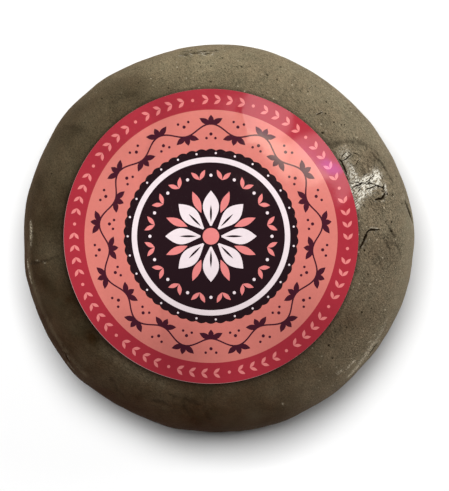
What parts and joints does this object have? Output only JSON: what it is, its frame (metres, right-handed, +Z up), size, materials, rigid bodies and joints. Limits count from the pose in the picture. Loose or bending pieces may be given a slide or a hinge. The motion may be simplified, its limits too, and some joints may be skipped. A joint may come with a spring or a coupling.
{
  "type": "bloomy rind goat cheese",
  "caption": "Whole soft goat cheese: a low, round-shouldered wheel with a velvety grey-brown rind and a round paper label on its top.",
  "frame": {"origin": "on the flat foot, under the middle of the wheel's box", "axes": "+Z up through the label; +X to the right and +Y away, as the wheel is seen from above"},
  "size_m": [0.1488, 0.148, 0.0521],
  "materials": {
    "rind": "matte, velvety and mottled, waxy where it is cracked",
    "printed_paper": "glossy coated paper, printed in crimson, salmon and dark aubergine"
  },
  "bodies": {
    "root": {"cheese_wheel": "rind", "paper_label": "printed_paper"}
  },
  "joints": []
}
